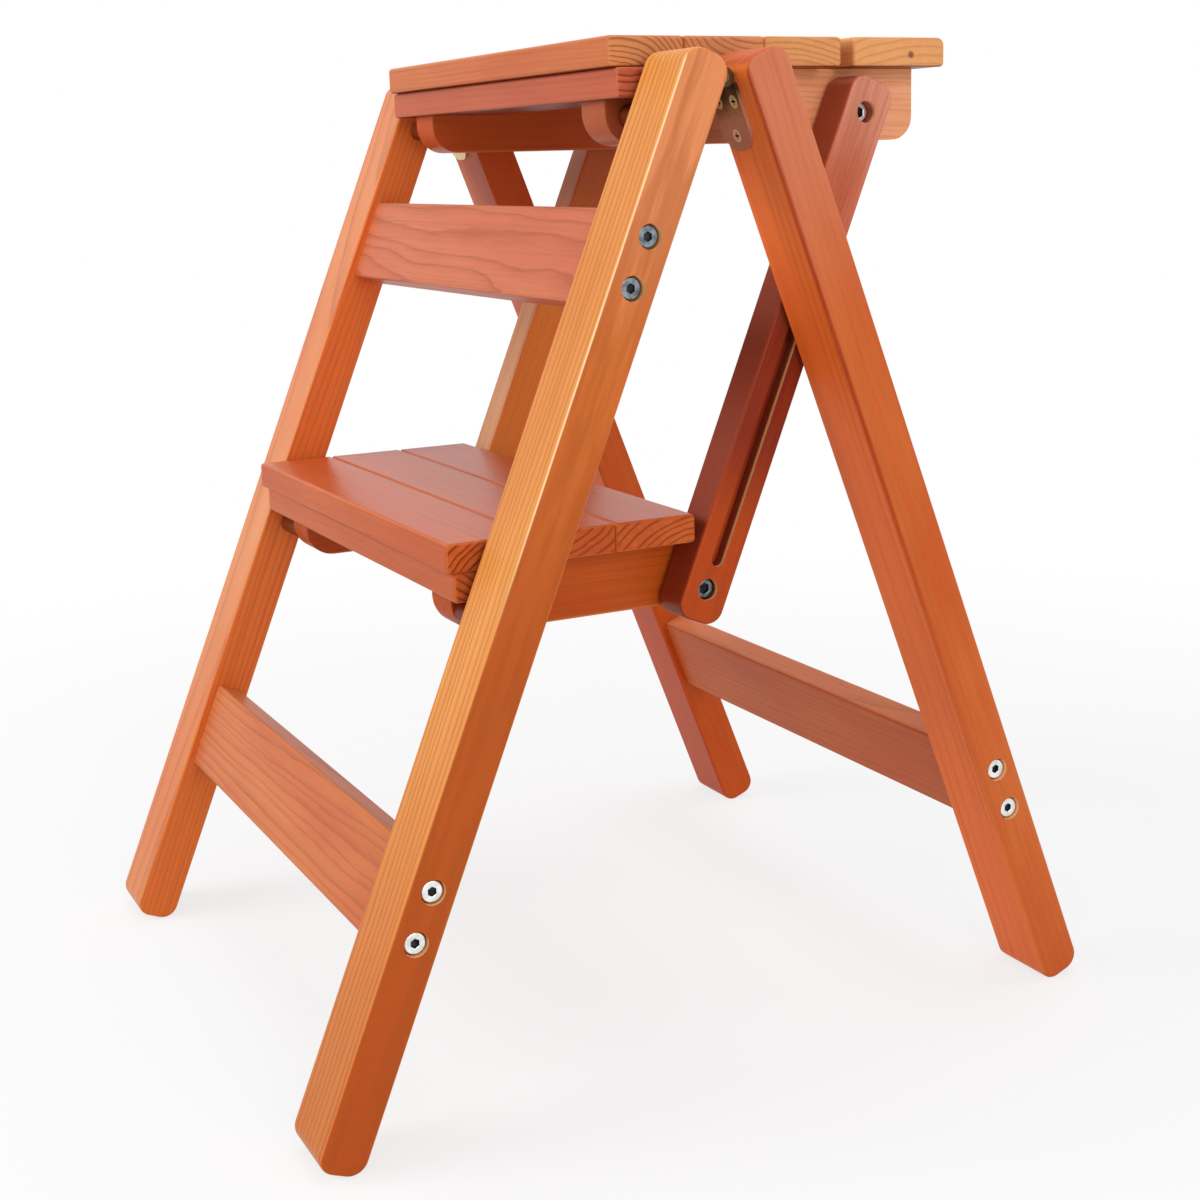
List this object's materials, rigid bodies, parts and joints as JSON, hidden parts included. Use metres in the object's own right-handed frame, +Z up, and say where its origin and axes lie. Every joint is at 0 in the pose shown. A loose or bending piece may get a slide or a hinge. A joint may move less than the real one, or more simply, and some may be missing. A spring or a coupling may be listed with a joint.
{
  "type": "folding step stool",
  "caption": "Folding wooden step stool with a slatted seat, a slatted step that swings up with it, and hinged rear legs.",
  "frame": {"origin": "on the floor, in the middle of the width and of the depth between the feet, stool open", "axes": "+Z up, front towards -Y, +X to the right as seen from the front"},
  "size_m": [0.372, 0.432, 0.5],
  "materials": {
    "leg_wood": "satin lacquer over orange-red stain",
    "rail_wood": "satin lacquer over orange-red stain",
    "board_wood": "semi-gloss lacquer over orange-red stain",
    "bearer_wood": "satin lacquer over orange-red stain",
    "link_wood": "satin lacquer over orange-red stain",
    "spacer_wood": "plain turned wood",
    "screw_steel": "bright zinc plated",
    "pin_steel": "plain steel",
    "hinge_zinc": "yellow zinc plated"
  },
  "bodies": {
    "front_frame": {"front_leg_left": "leg_wood", "front_leg_right": "leg_wood", "front_lower_rail": "rail_wood", "front_lower_rail_screws": "screw_steel", "front_upper_rail": "rail_wood", "front_upper_rail_screws": "screw_steel", "hinge_front_leaf_left": "hinge_zinc", "hinge_front_leaf_right": "hinge_zinc", "hinge_front_screws": "hinge_zinc", "hinge_pins": "hinge_zinc", "seat_pivot_pins": "pin_steel", "seat_pivot_spacers": "spacer_wood", "step_pivot_pins": "pin_steel", "step_pivot_spacers": "spacer_wood"},
    "rear_frame": {"hinge_rear_leaf_left": "hinge_zinc", "hinge_rear_leaf_right": "hinge_zinc", "hinge_rear_screws": "hinge_zinc", "rear_leg_left": "leg_wood", "rear_leg_right": "leg_wood", "rear_leg_studs": "pin_steel", "rear_rail": "rail_wood", "rear_rail_screws": "screw_steel"},
    "seat": {"seat_bearer_left": "bearer_wood", "seat_bearer_right": "bearer_wood", "seat_link_bolts": "screw_steel", "seat_link_nuts": "pin_steel", "seat_link_washers": "pin_steel", "seat_slat_1": "board_wood", "seat_slat_2": "board_wood", "seat_slat_3": "board_wood", "seat_slat_4": "board_wood", "seat_under_board": "board_wood"},
    "step": {"step_bearer_left": "bearer_wood", "step_bearer_right": "bearer_wood", "step_link_bolts": "screw_steel", "step_link_nuts": "pin_steel", "step_link_washers": "pin_steel", "step_slat_1": "board_wood", "step_slat_2": "board_wood", "step_slat_3": "board_wood", "step_under_board": "board_wood"},
    "link_left": {"link_left": "link_wood"},
    "link_right": {"link_right": "link_wood"}
  },
  "joints": [
    {"name": "seat_fold", "type": "hinge", "parent": "front_frame", "child": "seat", "pos_m": [0, -0.01406, 0.4637], "axis": [1, 0, 0], "range_deg": [0, 50]},
    {"name": "step_fold", "type": "hinge", "parent": "front_frame", "child": "step", "pos_m": [0, -0.10891, 0.2336], "axis": [1, 0, 0], "range_deg": [0, 50]},
    {"name": "rear_fold", "type": "hinge", "parent": "front_frame", "child": "rear_frame", "pos_m": [0, 0.00718, 0.47928], "axis": [-1, 0, 0], "range_deg": [0, 42.7]},
    {"name": "link_left_turn", "type": "hinge", "parent": "seat", "child": "link_left", "pos_m": [0, 0.10624, 0.4637], "axis": [-1, 0, 0], "range_deg": [0, 50]},
    {"name": "link_right_turn", "type": "hinge", "parent": "seat", "child": "link_right", "pos_m": [0, 0.10624, 0.4637], "axis": [-1, 0, 0], "range_deg": [0, 50]}
  ],
  "couplings": [
    {"joint": "step_fold", "follows": "seat_fold", "ratio": 1},
    {"joint": "rear_fold", "follows": "seat_fold", "ratio": 0.8525},
    {"joint": "link_left_turn", "follows": "seat_fold", "ratio": 1},
    {"joint": "link_right_turn", "follows": "seat_fold", "ratio": 1}
  ]
}
